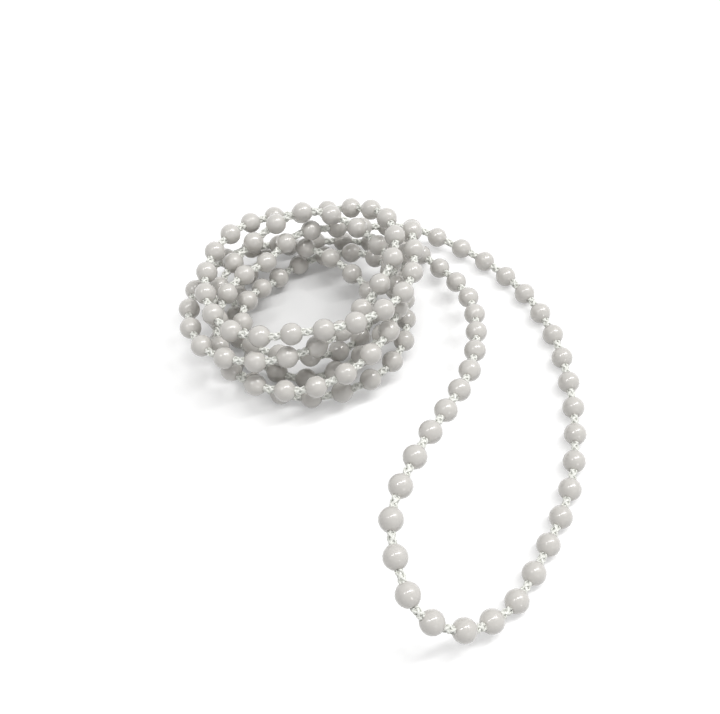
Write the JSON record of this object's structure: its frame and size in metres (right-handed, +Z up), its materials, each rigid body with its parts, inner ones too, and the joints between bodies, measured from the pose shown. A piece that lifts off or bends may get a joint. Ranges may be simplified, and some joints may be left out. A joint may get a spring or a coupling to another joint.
{
  "type": "plastic bead chain",
  "caption": "Endless blind control chain: round gloss plastic beads moulded at a fixed pitch onto a braided cord, lying as a loose coil with one free loop.",
  "frame": {"origin": "on the surface that the chain lies on, under the middle of its outline seen from above", "axes": "+Z up from the surface; -Y towards the far end of the free loop; the coil lies towards -X and +Y"},
  "size_m": [0.0784, 0.0954, 0.0199],
  "materials": {
    "bead_plastic": "moulded pale warm grey gloss plastic bead",
    "cord_braid": "off-white braided polyester cord between the beads"
  },
  "bodies": {
    "root": {"bead_chain": "bead_plastic"}
  },
  "joints": []
}
